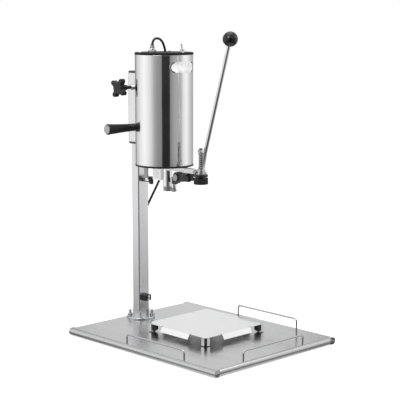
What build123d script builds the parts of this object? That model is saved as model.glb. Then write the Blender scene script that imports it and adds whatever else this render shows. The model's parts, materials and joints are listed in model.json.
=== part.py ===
"""Electric bench opener for large square tins: tray base, column, motor head with lever-closed cutter."""

from build123d import *
from math import acos, atan2, cos, pi, radians, sin, tan
import os

os.makedirs("parts", exist_ok=True)

# ---------------------------------------------------------------- driving dimensions (mm)
# Axes: +Z up, +X to the operator's right, the operator stands on the -Y side.
base_width = 480.0  # X
base_length = 600.0  # Y
base_height = 20.0
base_sheet = 1.5
base_lip = 8.0  # flat return under each rolled edge

column_width = 40.0  # X
column_depth = 30.0  # Y
column_wall = 2.0
column_corner = 4.0
column_y = 255.0
column_top = 752.0
cap_thickness = 4.0
flange_radius = 42.0
flange_thickness = 5.0
stud_circle = 33.0
stud_radius = 4.0
stud_rise = 18.0
nut_across = 13.0
nut_height = 6.5

wire_radius = 2.4
fence_rise = 28.0
tall_fence_rise = 46.0
fence_bend = 9.0
side_fence_length = 230.0
front_fence_length = 236.0

tin_width = 235.0  # the square tin that the tray carries
tray_sheet = 1.5
tray_gap = 24.0  # under the tray
tray_x = 19.0
tray_y = -5.0
flap_length = 112.0
flap_drop = 13.0
leg_width = 11.0
ball_radius = 9.0
cup_radius = 12.0

sleeve_wall = 3.0
bush_thickness = 5.0
bush_flange = 6.0
sleeve_bottom = 550.0
sleeve_height = 200.0

housing_radius = 83.5
housing_wall = 1.5
housing_y = 148.0
head_bottom = 488.0
head_base_thickness = 8.0
housing_top = 806.0
lid_height = 6.0

spindle_y = 135.0
tube_radius = 12.5
tube_wall = 2.0
tube_bottom = 428.0
shaft_radius = 6.0
roller_bottom = 415.0
gear_module = 1.2
gear_teeth = 54
pinion_teeth = 18
gear_thickness = 10.0
gear_level = 500.0
motor_radius = 40.0
motor_height = 170.0

arm_width = 22.0
arm_thickness = 12.0
plunger_y = -2.5
plunger_radius = 5.0
spring_wire = 1.1
spring_radius = 6.9
spring_turns = 11
spring_height = 46.0
knob_radius = 20.3
knob_height = 17.5

rocker_y = 78.0
rocker_z = 461.0
hub_radius = 15.0
eye_radius = 20.0
eye_thickness = 6.0
cutter_y = 108.5
cutter_radius = 9.0
cutter_bottom = 416.0
cutter_thickness = 10.0
axle_radius = 3.0
pin_radius = 3.5

lever_x = 17.0
lever_y = 8.0
lever_z = 483.0
lever_radius = 5.5
lever_ball_radius = 21.0
lever_lean = -107.0  # ball centre from the pivot, along Y
lever_rise = 370.0  # ball centre from the pivot, along Z

star_z = 709.0
star_radius = 31.0
handle_z = 592.0
handle_length = 97.0

cord_radius = 3.5

# clearances
running = 0.05  # radial, for a shaft in its bearing
slip = 0.3  # between sliding or turning outer faces
bolt_gap = 0.3  # radial, for a fastener in its hole

# ---------------------------------------------------------------- worked-out places
column_back = column_y + column_depth / 2
column_front = column_y - column_depth / 2
sleeve_x = column_width / 2 + bush_thickness + sleeve_wall  # half width
sleeve_y = column_depth / 2 + bush_thickness + sleeve_wall  # half depth
sleeve_front = column_y - sleeve_y
sleeve_top = sleeve_bottom + sleeve_height
column_foot = base_height + flange_thickness
tray_top = base_height + tray_gap + tray_sheet
arm_bottom = head_bottom - arm_thickness
head_floor = head_bottom + head_base_thickness
lid_top = housing_top + lid_height
mesh_distance = gear_module * (gear_teeth + pinion_teeth) / 2
motor_y = spindle_y + mesh_distance
column_axis = Plane(origin=(0, column_y, 0))
housing_axis = Plane(origin=(0, housing_y, 0))
spindle_axis = Plane(origin=(0, spindle_y, 0))
motor_axis = Plane(origin=(0, motor_y, 0))
plunger_axis = Plane(origin=(0, plunger_y, 0))


def facing_left(x, y, z):
    """Plane at a point whose normal is -X and whose sketch X runs along -Y."""
    return Plane(origin=(x, y, z), x_dir=(0, -1, 0), z_dir=(-1, 0, 0))


def facing_front(x, y, z):
    """Plane at a point whose normal is -Y and whose sketch X runs along +X."""
    return Plane(origin=(x, y, z), x_dir=(1, 0, 0), z_dir=(0, -1, 0))


def facing_right(x, y, z):
    """Plane at a point whose normal is +X and whose sketch X runs along +Y."""
    return Plane(origin=(x, y, z), x_dir=(0, 1, 0), z_dir=(1, 0, 0))


def involute(angle):
    return tan(angle) - angle


def gear_tooth(teeth, module, steps=5, backlash=0.06):
    """Face of one external involute tooth that points along +X, from inside the root."""
    pitch = module * teeth / 2
    base = pitch * cos(radians(20))
    tip = pitch + module
    root = pitch - 1.25 * module
    half = pi / (2 * teeth) - backlash / pitch + involute(radians(20))
    low = max(base, root)
    radii = [low + (tip - low) * k / steps for k in range(steps + 1)]
    flank = [(r, half - involute(acos(min(1, base / r)))) for r in radii]
    upper = [(r * cos(a), r * sin(a)) for r, a in flank]
    foot = (root * cos(half), root * sin(half))
    upper = [foot] + upper if root < base else upper
    inner = root - 1
    edge = atan2(upper[0][1], upper[0][0])
    upper = [(inner * cos(edge), inner * sin(edge))] + upper
    with BuildLine() as outline:
        Polyline(*upper, *[(x, -y) for x, y in reversed(upper)], close=True)
    return make_face(outline.edges(), mode=Mode.PRIVATE)


# ---------------------------------------------------------------- base: tray plate
roll = base_height / 2
hollow = roll - base_sheet
panel_x = base_width / 2 - 2 * roll


def rolled_edge(flat):
    """Half-round edge profile: a flat of the given length, the roll, and the lip under it."""
    with BuildLine() as outline:
        top = Line((-flat, base_height), (0, base_height))
        bend = ThreePointArc(top @ 1, (roll, roll), (0, 0))
        lip = Polyline(bend @ 1, (-base_lip, 0), (-base_lip, base_sheet), (0, base_sheet))
        inner = ThreePointArc(lip @ 1, (hollow, roll), (0, base_height - base_sheet))
        Polyline(inner @ 1, (-flat, base_height - base_sheet), (-flat, base_height))
    make_face(outline.edges())


with BuildPart() as base_plate:
    with BuildSketch(Plane.XY.offset(base_height - base_sheet)):
        Rectangle(2 * panel_x, base_length - 2 * roll)
    extrude(amount=base_sheet)
    with BuildSketch(facing_front(base_width / 2 - roll, base_length / 2, 0)):
        rolled_edge(roll)
    extrude(amount=base_length)
    with BuildSketch(
        Plane(origin=(panel_x, roll - base_length / 2, 0), x_dir=(0, -1, 0), z_dir=(-1, 0, 0))
    ):
        rolled_edge(1)
    extrude(amount=2 * panel_x)
    mirror(about=Plane.YZ)
    mirror(about=Plane.XZ)
    with BuildSketch(column_axis.offset(base_height)):
        with PolarLocations(stud_circle, 4, start_angle=45):
            Circle(stud_radius + bolt_gap)
    extrude(amount=-base_sheet, mode=Mode.SUBTRACT)
base_plate.part.label = "base_plate"
export_step(base_plate.part, "parts/base_plate.step")

# ---------------------------------------------------------------- base: column and its fixings
under_sheet = base_height - base_sheet
backing_thickness = 6.0

with BuildPart() as column_backing_plate:
    with BuildSketch(column_axis.offset(under_sheet)):
        Rectangle(2 * flange_radius + 26, 2 * flange_radius - 22)
        with PolarLocations(stud_circle, 4, start_angle=45):
            Circle(stud_radius + bolt_gap, mode=Mode.SUBTRACT)
    extrude(amount=-backing_thickness)
column_backing_plate.part.label = "column_backing_plate"
export_step(column_backing_plate.part, "parts/column_backing_plate.step")

with BuildPart() as column_flange:
    with BuildSketch(column_axis.offset(base_height)):
        Circle(flange_radius)
        with PolarLocations(stud_circle, 4, start_angle=45):
            Circle(stud_radius + bolt_gap, mode=Mode.SUBTRACT)
    extrude(amount=flange_thickness)
    chamfer(column_flange.faces().sort_by(Axis.Z)[-1].outer_wire().edges(), 1)
column_flange.part.label = "column_flange"
export_step(column_flange.part, "parts/column_flange.step")

with BuildPart() as column_bolts:
    with BuildSketch(column_axis.offset(under_sheet - backing_thickness - 5)):
        with PolarLocations(stud_circle, 4, start_angle=45):
            RegularPolygon(nut_across / 2, 6, major_radius=False)
    extrude(amount=5)
    with BuildSketch(column_axis.offset(under_sheet - backing_thickness)):
        with PolarLocations(stud_circle, 4, start_angle=45):
            Circle(stud_radius)
    extrude(amount=backing_thickness + base_sheet + flange_thickness + stud_rise)
    chamfer(column_bolts.faces().sort_by(Axis.Z)[-4:].edges(), 0.8)
    with BuildSketch(column_axis.offset(column_foot)):
        with PolarLocations(stud_circle, 4, start_angle=45):
            RegularPolygon(nut_across / 2, 6, major_radius=False)
            Circle(stud_radius + running, mode=Mode.SUBTRACT)
    extrude(amount=nut_height)
column_bolts.part.label = "column_bolts"
export_step(column_bolts.part, "parts/column_bolts.step")

bumper_size = (26.0, 20.0, 17.0)
bumper_bottom = 75.0

with BuildPart() as column_tube:
    with BuildSketch(column_axis.offset(column_foot)):
        RectangleRounded(column_width, column_depth, column_corner)
        RectangleRounded(
            column_width - 2 * column_wall,
            column_depth - 2 * column_wall,
            column_corner - column_wall,
            mode=Mode.SUBTRACT,
        )
    extrude(amount=column_top - column_foot)
    with BuildSketch(facing_front(0, column_front, bumper_bottom)):
        with Locations((0, 4.5), (0, 12.5)):
            Circle(2)
    extrude(amount=-column_wall, mode=Mode.SUBTRACT)
column_tube.part.label = "column_tube"
export_step(column_tube.part, "parts/column_tube.step")

with BuildPart() as column_cap:
    with BuildSketch(column_axis.offset(column_top)):
        RectangleRounded(column_width, column_depth, column_corner)
    extrude(amount=cap_thickness)
    fillet(column_cap.faces().sort_by(Axis.Z)[-1].edges(), 2)
    with BuildSketch(column_axis.offset(column_top)):
        RectangleRounded(column_width - 2 * column_wall - 0.4, column_depth - 2 * column_wall - 0.4, 1.5)
    extrude(amount=-14)
column_cap.part.label = "column_cap"
export_step(column_cap.part, "parts/column_cap.step")

with BuildPart() as lower_bumper:
    with BuildSketch(Plane(origin=(0, column_front - bumper_size[1] / 2, bumper_bottom))):
        Rectangle(bumper_size[0], bumper_size[1])
    extrude(amount=bumper_size[2])
    fillet(lower_bumper.edges().filter_by(Axis.Z).group_by(Axis.Y)[0], 5)
    fillet(lower_bumper.faces().sort_by(Axis.Y)[0].edges().filter_by(Axis.X), 2)
    with BuildSketch(facing_front(0, column_front, bumper_bottom)):
        with Locations((0, 4.5), (0, 12.5)):
            Circle(2 + bolt_gap)
    extrude(amount=bumper_size[1], mode=Mode.SUBTRACT)
lower_bumper.part.label = "lower_bumper"
export_step(lower_bumper.part, "parts/lower_bumper.step")

with BuildPart() as bumper_screws:
    with BuildSketch(facing_front(0, column_front + column_wall, bumper_bottom)):
        with Locations((0, 4.5), (0, 12.5)):
            Circle(2)
    extrude(amount=bumper_size[1] + column_wall)
    with BuildSketch(facing_front(0, column_front - bumper_size[1], bumper_bottom)):
        with Locations((0, 4.5), (0, 12.5)):
            Circle(3.6)
    extrude(amount=2.4)
    fillet(bumper_screws.faces().sort_by(Axis.Y)[:2].edges(), 1)
bumper_screws.part.label = "bumper_screws"
export_step(bumper_screws.part, "parts/bumper_screws.step")


# ---------------------------------------------------------------- base: wire fences
def wire_staple(start, end, rise):
    """Round wire bent into a staple whose two feet stand at start and end on the base."""
    floor = base_height
    points = [
        (start[0], start[1], floor),
        (start[0], start[1], floor + rise - wire_radius),
        (end[0], end[1], floor + rise - wire_radius),
        (end[0], end[1], floor),
    ]
    with BuildLine() as path:
        FilletPolyline(*points, radius=fence_bend)
    with BuildSketch(Plane(origin=points[0])) as section:
        Circle(wire_radius)
    sweep(section.sketch, path=path.wire())


with BuildPart() as fence_left:
    wire_staple((-226, -172), (-226, side_fence_length - 172), fence_rise)
fence_left.part.label = "fence_left"
export_step(fence_left.part, "parts/fence_left.step")

with BuildPart() as fence_front:
    wire_staple((front_fence_length / 2, -284), (-front_fence_length / 2, -284), fence_rise)
fence_front.part.label = "fence_front"
export_step(fence_front.part, "parts/fence_front.step")

with BuildPart() as fence_right:
    wire_staple((184, -203), (184, side_fence_length - 203), tall_fence_rise)
fence_right.part.label = "fence_right"
export_step(fence_right.part, "parts/fence_right.step")

# ---------------------------------------------------------------- tray on ball casters
tray_half = tin_width / 2 + 2.0
leg_reach = tray_gap - 2.0
ball_inset = 14.0
ball_centre = base_height + slip + ball_radius
caster_spots = {
    "left_rear": (-1, 1),
    "left_front": (-1, -1),
    "right_front": (1, -1),
    "right_rear": (1, 1),
}
tray_plane = Plane(origin=(tray_x, tray_y, tray_top - tray_sheet))
flap_run = flap_drop * 0.55

with BuildPart() as tin_tray:
    with BuildSketch(tray_plane):
        RectangleRounded(2 * tray_half, 2 * tray_half, 6)
    extrude(amount=tray_sheet)
    for turn in range(4):
        side = tray_plane.rotated((0, 0, 90 * turn))
        edge = Plane(
            origin=side.from_local_coords((tray_half, flap_length / 2, 0)),
            x_dir=side.x_dir,
            z_dir=-side.y_dir,
        )
        with BuildSketch(edge):
            with BuildLine():
                Polyline(
                    (-2, tray_sheet),
                    (0.5, tray_sheet),
                    (flap_run + 1.2, -flap_drop),
                    (flap_run - 0.3, -flap_drop),
                    (-0.8, 0),
                    (-2, 0),
                    close=True,
                )
            make_face()
        extrude(amount=flap_length)
        for end in (-1, 1):
            centre = side.from_local_coords(
                (tray_half - tray_sheet / 2, end * (tray_half - 6 - leg_width / 2), 0)
            )
            with BuildSketch(Plane(origin=centre, x_dir=side.x_dir, z_dir=(0, 0, 1))):
                Rectangle(tray_sheet, leg_width)
            extrude(amount=-leg_reach)
    relief = flap_length / 2 + 2
    for turn in range(4):
        side = tray_plane.rotated((0, 0, 90 * turn))
        with BuildSketch(side):
            with Locations((tray_half - 2.5, relief), (tray_half - 2.5, -relief)):
                Rectangle(6, 4)
        extrude(amount=tray_sheet, mode=Mode.SUBTRACT)
tin_tray.part.label = "tin_tray"
export_step(tin_tray.part, "parts/tin_tray.step")

with BuildPart() as caster_cups:
    with BuildSketch(tray_plane):
        with Locations(*[(sx * (tray_half - ball_inset), sy * (tray_half - ball_inset))
                         for sx, sy in caster_spots.values()]):
            Circle(cup_radius)
    extrude(amount=-(tray_gap - ball_radius + 3.0))
    fillet(caster_cups.faces().sort_by(Axis.Z)[:4].edges(), 1.5)
    with Locations(*[
        (tray_x + sx * (tray_half - ball_inset), tray_y + sy * (tray_half - ball_inset), ball_centre)
        for sx, sy in caster_spots.values()
    ]):
        Sphere(ball_radius + slip, mode=Mode.SUBTRACT)
caster_cups.part.label = "caster_cups"
export_step(caster_cups.part, "parts/caster_cups.step")

for corner, (sx, sy) in caster_spots.items():
    with BuildPart() as caster_ball:
        spot = (tray_x + sx * (tray_half - ball_inset), tray_y + sy * (tray_half - ball_inset))
        with Locations((spot[0], spot[1], ball_centre)):
            Sphere(ball_radius)
    caster_ball.part.label = f"caster_ball_{corner}"
    export_step(caster_ball.part, f"parts/caster_ball_{corner}.step")

# ---------------------------------------------------------------- head: sleeve that slides on the column
stud_hole = 5.0  # radius of the threaded holes for the star knob and the handle
boss_length = 9.0
screw_radius = 3.0
mount_spots = [(x, z) for x in (-16, 16) for z in (570, 730)]
boss_radius = 7.0

with BuildPart() as carriage_sleeve:
    with BuildSketch(column_axis.offset(sleeve_bottom)):
        RectangleRounded(2 * sleeve_x, 2 * sleeve_y, column_corner + bush_thickness)
        RectangleRounded(
            2 * (sleeve_x - sleeve_wall), 2 * (sleeve_y - sleeve_wall), column_corner + 2, mode=Mode.SUBTRACT
        )
    extrude(amount=sleeve_height)
    with BuildSketch(facing_left(-sleeve_x, column_y, star_z)):
        Circle(stud_hole + 3)
    extrude(amount=boss_length)
    with BuildSketch(facing_left(-sleeve_x - boss_length, column_y, 0)):
        with Locations((0, star_z), (0, handle_z)):
            Circle(stud_hole)
    extrude(amount=-sleeve_wall - boss_length, mode=Mode.SUBTRACT)
    with BuildSketch(facing_front(0, sleeve_front, 0)):
        with Locations(*mount_spots):
            Circle(screw_radius)
    extrude(amount=-sleeve_wall, mode=Mode.SUBTRACT)
carriage_sleeve.part.label = "carriage_sleeve"
export_step(carriage_sleeve.part, "parts/carriage_sleeve.step")

bush_depth = 30.0


def column_bush(level, inwards):
    """Flanged nylon bush at one end of the sleeve, bored to slide on the column."""
    with BuildSketch(column_axis.offset(level)) as collar:
        RectangleRounded(2 * sleeve_x - 2, 2 * sleeve_y - 2, column_corner + bush_thickness - 1)
    extrude(collar.sketch, amount=-inwards * bush_flange)
    with BuildSketch(column_axis.offset(level)) as plug:
        RectangleRounded(2 * (sleeve_x - sleeve_wall), 2 * (sleeve_y - sleeve_wall), column_corner + 2)
    extrude(plug.sketch, amount=inwards * bush_depth)
    with BuildSketch(column_axis.offset(level - inwards * bush_flange)) as bore:
        RectangleRounded(column_width + 2 * slip, column_depth + 2 * slip, column_corner + slip)
    extrude(bore.sketch, amount=inwards * (bush_flange + bush_depth), mode=Mode.SUBTRACT)


with BuildPart() as upper_bush:
    column_bush(sleeve_top, -1)
upper_bush.part.label = "upper_bush"
export_step(upper_bush.part, "parts/upper_bush.step")

with BuildPart() as lower_bush:
    column_bush(sleeve_bottom, 1)
lower_bush.part.label = "lower_bush"
export_step(lower_bush.part, "parts/lower_bush.step")

# ---------------------------------------------------------------- head: frame inside the housing
back_plate_y = 220.0
back_plate_thickness = 5.0
back_plate_face = back_plate_y + back_plate_thickness
base_screws = [(x, y) for x in (-62, 62) for y in (housing_y - 14, housing_y + 14)]

with BuildPart() as back_plate:
    with BuildSketch(facing_front(0, back_plate_face, 0)):
        with Locations((0, (head_floor + 760) / 2)):
            Rectangle(50, 760 - head_floor)
    extrude(amount=back_plate_thickness)
    with BuildSketch(facing_front(0, back_plate_face, 0)):
        with Locations(*mount_spots):
            Circle(boss_radius)
    extrude(amount=-(sleeve_front - back_plate_face))
    with BuildSketch(facing_front(0, back_plate_y, 0)):
        with Locations(*mount_spots):
            Circle(screw_radius + bolt_gap)
    extrude(amount=-(sleeve_front - back_plate_y), mode=Mode.SUBTRACT)
back_plate.part.label = "back_plate"
export_step(back_plate.part, "parts/back_plate.step")

with BuildPart() as head_base:
    with BuildSketch(housing_axis.offset(head_bottom)):
        Circle(housing_radius - housing_wall)
        with Locations((0, spindle_y - housing_y)):
            Circle(shaft_radius + 1.5, mode=Mode.SUBTRACT)
    extrude(amount=head_base_thickness)
head_base.part.label = "head_base"
export_step(head_base.part, "parts/head_base.step")

ring_height = 5.0
with BuildPart() as bottom_ring:
    with BuildSketch(housing_axis.offset(head_bottom)):
        Circle(housing_radius + 0.6)
        Circle(housing_radius - housing_wall, mode=Mode.SUBTRACT)
    extrude(amount=ring_height)
    chamfer(bottom_ring.faces().sort_by(Axis.Z)[0].outer_wire().edges(), 0.5)
bottom_ring.part.label = "bottom_ring"
export_step(bottom_ring.part, "parts/bottom_ring.step")

shell_bottom = head_bottom + ring_height
with BuildPart() as housing_shell:
    with BuildSketch(housing_axis.offset(shell_bottom)):
        Circle(housing_radius)
        Circle(housing_radius - housing_wall, mode=Mode.SUBTRACT)
    extrude(amount=housing_top - shell_bottom)
    with BuildSketch(facing_front(0, sleeve_front, 0)):
        with Locations(*mount_spots):
            Circle(boss_radius + bolt_gap)
    extrude(amount=24, mode=Mode.SUBTRACT)
housing_shell.part.label = "housing_shell"
export_step(housing_shell.part, "parts/housing_shell.step")

gland_spot = (-7.0, 190.0)
switch_spot = (47.0, 122.0)
lid_screws = [(housing_radius - 12, 35), (housing_radius - 12, 155), (housing_radius - 12, 275)]
gland_radius = 8.0
switch_radius = 6.0

with BuildPart() as housing_lid:
    with BuildSketch(housing_axis.offset(housing_top)):
        Circle(housing_radius + 0.6)
    extrude(amount=lid_height)
    fillet(housing_lid.faces().sort_by(Axis.Z)[-1].edges(), 2)
    with BuildSketch(housing_axis.offset(housing_top)):
        Circle(housing_radius - housing_wall - 0.3)
    extrude(amount=-8)
    with BuildSketch(housing_axis.offset(housing_top - 8)):
        Circle(housing_radius - housing_wall - 4)
    extrude(amount=8, mode=Mode.SUBTRACT)
    with BuildSketch(Plane.XY.offset(housing_top)):
        with Locations(gland_spot):
            Circle(gland_radius + bolt_gap)
        with Locations(switch_spot):
            Circle(switch_radius + bolt_gap)
    extrude(amount=lid_height, mode=Mode.SUBTRACT)
    with BuildSketch(housing_axis.offset(lid_top)):
        for reach, turn in lid_screws:
            with Locations((reach * cos(radians(turn)), reach * sin(radians(turn)))):
                Circle(2 + bolt_gap)
    extrude(amount=-lid_height, mode=Mode.SUBTRACT)
housing_lid.part.label = "housing_lid"
export_step(housing_lid.part, "parts/housing_lid.step")

with BuildPart() as head_screws:
    with BuildSketch(facing_front(0, back_plate_y, 0)):
        with Locations(*mount_spots):
            Circle(screw_radius)
    extrude(amount=-(sleeve_front + sleeve_wall - back_plate_y))
    with BuildSketch(facing_front(0, back_plate_y, 0)):
        with Locations(*mount_spots):
            Circle(5)
    extrude(amount=4)
    with BuildSketch(housing_axis.offset(lid_top)):
        for reach, turn in lid_screws:
            with Locations((reach * cos(radians(turn)), reach * sin(radians(turn)))):
                Circle(2)
    extrude(amount=-lid_height)
    with BuildSketch(housing_axis.offset(lid_top)):
        for reach, turn in lid_screws:
            with Locations((reach * cos(radians(turn)), reach * sin(radians(turn)))):
                Circle(4)
    extrude(amount=2.2)
    fillet(head_screws.faces().sort_by(Axis.Z)[-3:].edges(), 1)
head_screws.part.label = "head_screws"
export_step(head_screws.part, "parts/head_screws.step")

plate_z = 772.0
with BuildPart() as name_plate:
    with BuildSketch(facing_front(0, housing_y, plate_z)):
        SlotOverall(88, 30)
    extrude(amount=housing_radius + 10)
    with BuildSketch(housing_axis.offset(plate_z - 30)):
        Circle(housing_radius + 1.0)
        Circle(housing_radius, mode=Mode.SUBTRACT)
    extrude(amount=60, mode=Mode.INTERSECT)
name_plate.part.label = "name_plate"
export_step(name_plate.part, "parts/name_plate.step")

# ---------------------------------------------------------------- head: cable gland and switch
gland_top = lid_top + 9.0
boot_top = gland_top + 8.0
with BuildPart() as cable_gland:
    with BuildSketch(Plane(origin=(*gland_spot, lid_top - lid_height - 8))):
        Circle(gland_radius)
    extrude(amount=lid_height + 8)
    with BuildSketch(Plane(origin=(*gland_spot, lid_top))):
        RegularPolygon(11, 6, major_radius=False)
    extrude(amount=5)
    with BuildSketch(Plane(origin=(*gland_spot, lid_top + 5))):
        Circle(9.5)
    extrude(amount=4)
    fillet(cable_gland.faces().sort_by(Axis.Z)[-1].edges(), 1)
    with BuildSketch(Plane(origin=(*gland_spot, lid_top - lid_height - 8))):
        Circle(cord_radius + 0.1)
    extrude(amount=lid_height + 17, mode=Mode.SUBTRACT)
    with BuildSketch(Plane(origin=(*gland_spot, gland_top))):
        Circle(6.5)
        Circle(cord_radius, mode=Mode.SUBTRACT)
    with BuildSketch(Plane(origin=(*gland_spot, boot_top))):
        Circle(4.8)
        Circle(cord_radius, mode=Mode.SUBTRACT)
    loft()
cable_gland.part.label = "cable_gland"
export_step(cable_gland.part, "parts/cable_gland.step")

bat_pivot_z = lid_top + 5.0
bat_tilt = 12.0  # degrees from upright, towards the column
with BuildPart() as switch_body:
    with BuildSketch(Plane(origin=(*switch_spot, lid_top - lid_height - 6))):
        Circle(switch_radius)
    extrude(amount=lid_height + 6 + 8)
    with BuildSketch(Plane(origin=(*switch_spot, lid_top))):
        RegularPolygon(8, 6, major_radius=False)
    extrude(amount=3)
    with BuildSketch(Plane(origin=(*switch_spot, lid_top - lid_height - 30))):
        Rectangle(18, 28)
    extrude(amount=24)
    with Locations((*switch_spot, bat_pivot_z)):
        Sphere(4.2, mode=Mode.SUBTRACT)
        Cone(2.6, 8, 9, align=(Align.CENTER, Align.CENTER, Align.MIN), mode=Mode.SUBTRACT)
switch_body.part.label = "switch_body"
export_step(switch_body.part, "parts/switch_body.step")

bat_length = 18.0
bat_axis = Plane(
    origin=(*switch_spot, bat_pivot_z), z_dir=(0, sin(radians(bat_tilt)), cos(radians(bat_tilt)))
)
with BuildPart() as switch_bat:
    with Locations(bat_axis.origin, bat_axis.offset(bat_length).origin):
        Sphere(3)
    with Locations(bat_axis.origin):
        Sphere(3.8)
    with BuildSketch(bat_axis):
        Circle(1.8)
    with BuildSketch(bat_axis.offset(bat_length)):
        Circle(2.9)
    loft()
switch_bat.part.label = "switch_bat"
export_step(switch_bat.part, "parts/switch_bat.step")

# ---------------------------------------------------------------- head: motor and its gear stage
motor_floor = gear_level + gear_thickness + 14.0
pillar_spots = [(x, y) for x in (-46, 46) for y in (motor_y - 26, motor_y + 14)]
with BuildPart() as motor_plate:
    with BuildSketch(Plane.XY.offset(motor_floor - 6)):
        with Locations((0, motor_y - 10)):
            RectangleRounded(108, 64, 8)
        with Locations((0, motor_y)):
            Circle(8, mode=Mode.SUBTRACT)
    extrude(amount=6)
    with BuildSketch(Plane.XY.offset(head_floor)):
        with Locations(*pillar_spots):
            Circle(5)
    extrude(amount=motor_floor - 6 - head_floor)
motor_plate.part.label = "motor_plate"
export_step(motor_plate.part, "parts/motor_plate.step")

shaft_reach = 40.0
with BuildPart() as motor_body:
    with BuildSketch(motor_axis.offset(motor_floor)):
        Circle(motor_radius)
    extrude(amount=motor_height)
    chamfer(motor_body.edges().filter_by(GeomType.CIRCLE).sort_by(Axis.Z)[-1], 5)
    with BuildSketch(motor_axis.offset(motor_floor + 20)):
        Circle(motor_radius)
        Circle(motor_radius - 2, mode=Mode.SUBTRACT)
    extrude(amount=motor_height - 50, mode=Mode.SUBTRACT)
    with BuildSketch(motor_axis.offset(motor_floor)):
        Circle(4 + running)
    extrude(amount=shaft_reach, mode=Mode.SUBTRACT)
motor_body.part.label = "motor_body"
export_step(motor_body.part, "parts/motor_body.step")

pinion_tooth = gear_tooth(pinion_teeth, gear_module)
with BuildPart() as motor_pinion:
    with BuildSketch(motor_axis.offset(gear_level - 1)):
        Circle(gear_module * (pinion_teeth - 2.5) / 2)
        with PolarLocations(0, pinion_teeth, start_angle=-90 + 180 / pinion_teeth):
            add(pinion_tooth)
    extrude(amount=gear_thickness + 2)
    with BuildSketch(motor_axis.offset(gear_level - 1)):
        Circle(4)
    extrude(amount=motor_floor - gear_level + shaft_reach)
motor_pinion.part.label = "motor_pinion"
export_step(motor_pinion.part, "parts/motor_pinion.step")

with BuildPart() as motor_capacitor:
    with BuildSketch(Plane(origin=(-50, housing_y - 22, head_floor + 34))):
        Circle(15)
    extrude(amount=70)
    fillet(motor_capacitor.edges().sort_by(Axis.Z)[-1], 2)
    with BuildSketch(Plane(origin=(-50, housing_y - 22, head_floor))):
        Circle(6)
    extrude(amount=34)
motor_capacitor.part.label = "motor_capacitor"
export_step(motor_capacitor.part, "parts/motor_capacitor.step")

# ---------------------------------------------------------------- head: spindle
with BuildPart() as spindle_tube:
    with BuildSketch(spindle_axis.offset(tube_bottom)):
        Circle(tube_radius)
        Circle(tube_radius - tube_wall, mode=Mode.SUBTRACT)
    extrude(amount=head_bottom - tube_bottom)
spindle_tube.part.label = "spindle_tube"
export_step(spindle_tube.part, "parts/spindle_tube.step")

bearing_height = 5.0
with BuildPart() as spindle_bearings:
    for level in (tube_bottom + 2, head_bottom - 3 - bearing_height):
        with BuildSketch(spindle_axis.offset(level)):
            Circle(tube_radius - tube_wall - 0.02)
            Circle(shaft_radius + running, mode=Mode.SUBTRACT)
        extrude(amount=bearing_height)
spindle_bearings.part.label = "spindle_bearings"
export_step(spindle_bearings.part, "parts/spindle_bearings.step")

flutes = 36
with BuildPart() as spindle_shaft:
    with BuildSketch(spindle_axis.offset(roller_bottom)):
        Circle(tube_radius)
        with PolarLocations(tube_radius + 0.25, flutes):
            Circle(0.6, mode=Mode.SUBTRACT)
    extrude(amount=tube_bottom - slip - roller_bottom)
    with BuildSketch(spindle_axis.offset(tube_bottom - slip)):
        Circle(shaft_radius)
    extrude(amount=gear_level + gear_thickness + 2 - tube_bottom + slip)
spindle_shaft.part.label = "spindle_shaft"
export_step(spindle_shaft.part, "parts/spindle_shaft.step")

spindle_tooth = gear_tooth(gear_teeth, gear_module)
with BuildPart() as spindle_gear:
    with BuildSketch(spindle_axis.offset(gear_level)):
        Circle(gear_module * (gear_teeth - 2.5) / 2)
        with PolarLocations(0, gear_teeth, start_angle=90):
            add(spindle_tooth)
        Circle(shaft_radius + 0.01, mode=Mode.SUBTRACT)
    extrude(amount=gear_thickness)
    with BuildSketch(spindle_axis.offset(gear_level)):
        with PolarLocations(20, 6):
            Circle(6)
    extrude(amount=gear_thickness, mode=Mode.SUBTRACT)
spindle_gear.part.label = "spindle_gear"
export_step(spindle_gear.part, "parts/spindle_gear.step")

# ---------------------------------------------------------------- head: welded arms under the housing
arm_rear_end = column_front - 7.0
lug_length = 16.0
seat_height = 3.0
with BuildPart() as head_arms:
    with BuildSketch(Plane.XY.offset(arm_bottom)):
        with Locations((0, (plunger_y + arm_rear_end) / 2)):
            Rectangle(arm_width, arm_rear_end - plunger_y)
        with Locations((0, plunger_y)):
            Circle(arm_width / 2)
    extrude(amount=arm_thickness)
    with BuildSketch(plunger_axis.offset(head_bottom)):
        Circle(arm_width / 2 - 2)
    extrude(amount=seat_height)
    with BuildSketch(facing_left(arm_width / 2, rocker_y, rocker_z)):
        Rectangle(lug_length, 2 * (arm_bottom - rocker_z), align=(Align.CENTER, Align.CENTER))
    extrude(amount=arm_width)
    fillet(head_arms.edges().filter_by(Axis.X).sort_by(Axis.Z)[:2], 4)
    with BuildSketch(plunger_axis.offset(arm_bottom)):
        Circle(plunger_radius + slip)
    extrude(amount=arm_thickness + seat_height, mode=Mode.SUBTRACT)
    with BuildSketch(spindle_axis.offset(arm_bottom)):
        Circle(tube_radius)
    extrude(amount=arm_thickness, mode=Mode.SUBTRACT)
    with BuildSketch(facing_left(arm_width / 2, rocker_y, rocker_z)):
        Circle(pin_radius)
    extrude(amount=arm_width, mode=Mode.SUBTRACT)
    with BuildSketch(facing_left(arm_width / 2, lever_y, lever_z)):
        Circle(pin_radius)
    extrude(amount=arm_width, mode=Mode.SUBTRACT)
head_arms.part.label = "head_arms"
export_step(head_arms.part, "parts/head_arms.step")

with BuildPart() as guide_block:
    with BuildSketch(Plane.XY.offset(arm_bottom)):
        with Locations((0, 174)):
            RectangleRounded(16, 35, 2)
    extrude(amount=-33)
guide_block.part.label = "guide_block"
export_step(guide_block.part, "parts/guide_block.step")

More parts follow.
